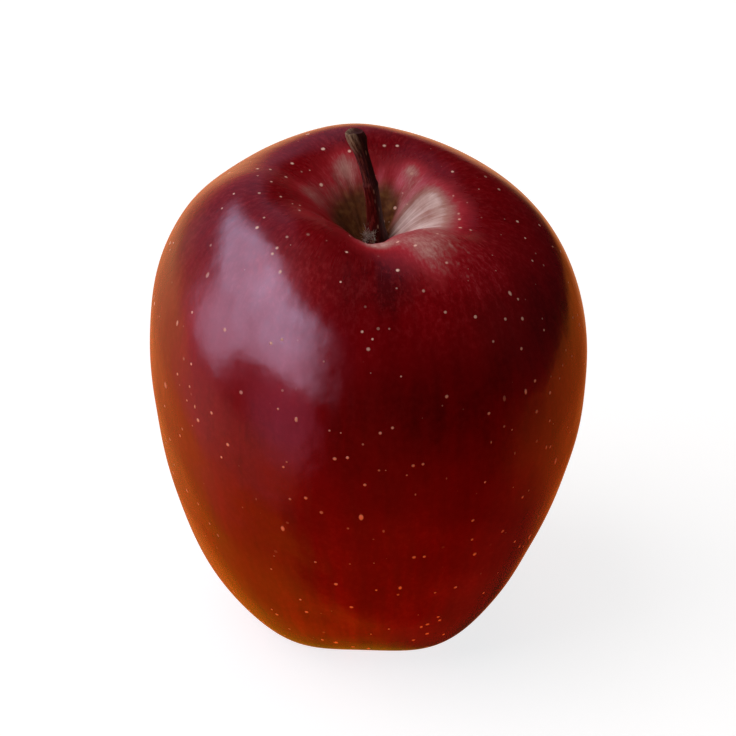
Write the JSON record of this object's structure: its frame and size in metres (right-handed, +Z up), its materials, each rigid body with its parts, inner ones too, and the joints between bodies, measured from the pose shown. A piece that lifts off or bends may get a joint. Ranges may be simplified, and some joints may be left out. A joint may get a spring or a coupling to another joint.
{
  "type": "red apple",
  "caption": "Tall, tapering red apple with a lobed crown and base, its stem standing in a deep cavity and the dried calyx in the basin underneath.",
  "frame": {"origin": "on the surface that the apple stands on, under the middle of the whole apple", "axes": "+Z up along the core, from the calyx to the stem; -Y is the side first seen, with the low saddle of the crown and the stem leaning to -X"},
  "size_m": [0.0758, 0.0756, 0.0936],
  "materials": {
    "apple_skin": "gloss",
    "stem_bark": "satin",
    "dried_calyx": "matte"
  },
  "bodies": {
    "root": {"apple_body": "apple_skin", "stem": "stem_bark", "calyx": "dried_calyx"}
  },
  "joints": []
}
